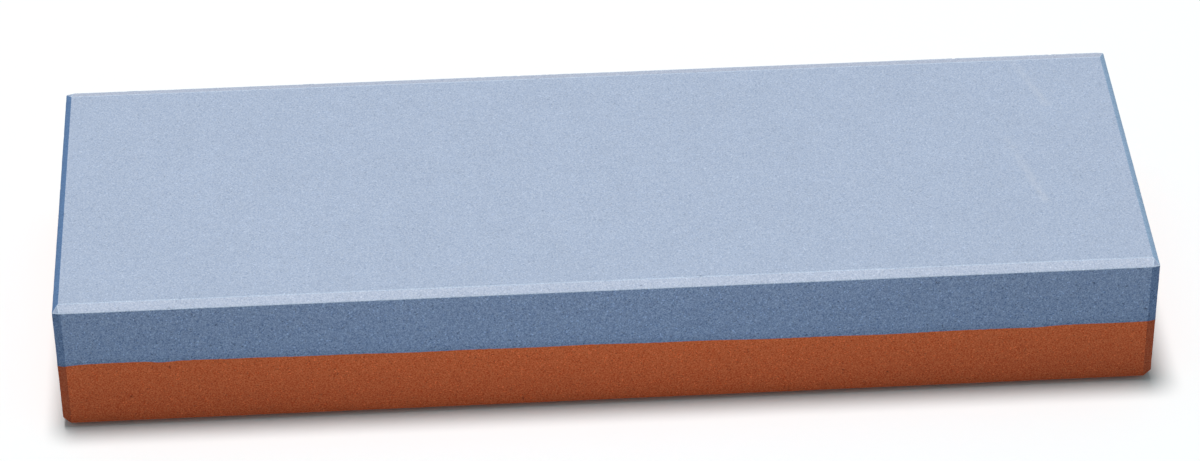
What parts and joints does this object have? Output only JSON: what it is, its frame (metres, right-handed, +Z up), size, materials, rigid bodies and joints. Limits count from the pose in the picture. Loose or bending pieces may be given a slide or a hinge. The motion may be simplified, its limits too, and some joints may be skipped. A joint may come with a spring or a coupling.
{
  "type": "sharpening whetstone",
  "caption": "Rectangular two-layer bench whetstone with a coarse blue-grey face, a fine rust-red face and chamfered edges, for honing knives and carving tools.",
  "frame": {"origin": "middle of the bottom face, which is the fine layer's working face", "axes": "+X along the stone's length, +Y across its width towards the back, +Z up through the layers to the coarse face"},
  "size_m": [0.185, 0.063, 0.025],
  "materials": {
    "coarse_abrasive": "matt, finely grained, porous vitrified grit with slightly paler ground chamfers",
    "fine_abrasive": "matt, very finely grained, porous vitrified grit with small darker pores"
  },
  "bodies": {
    "root": {"coarse_grit_layer": "coarse_abrasive", "fine_grit_layer": "fine_abrasive"}
  },
  "joints": []
}
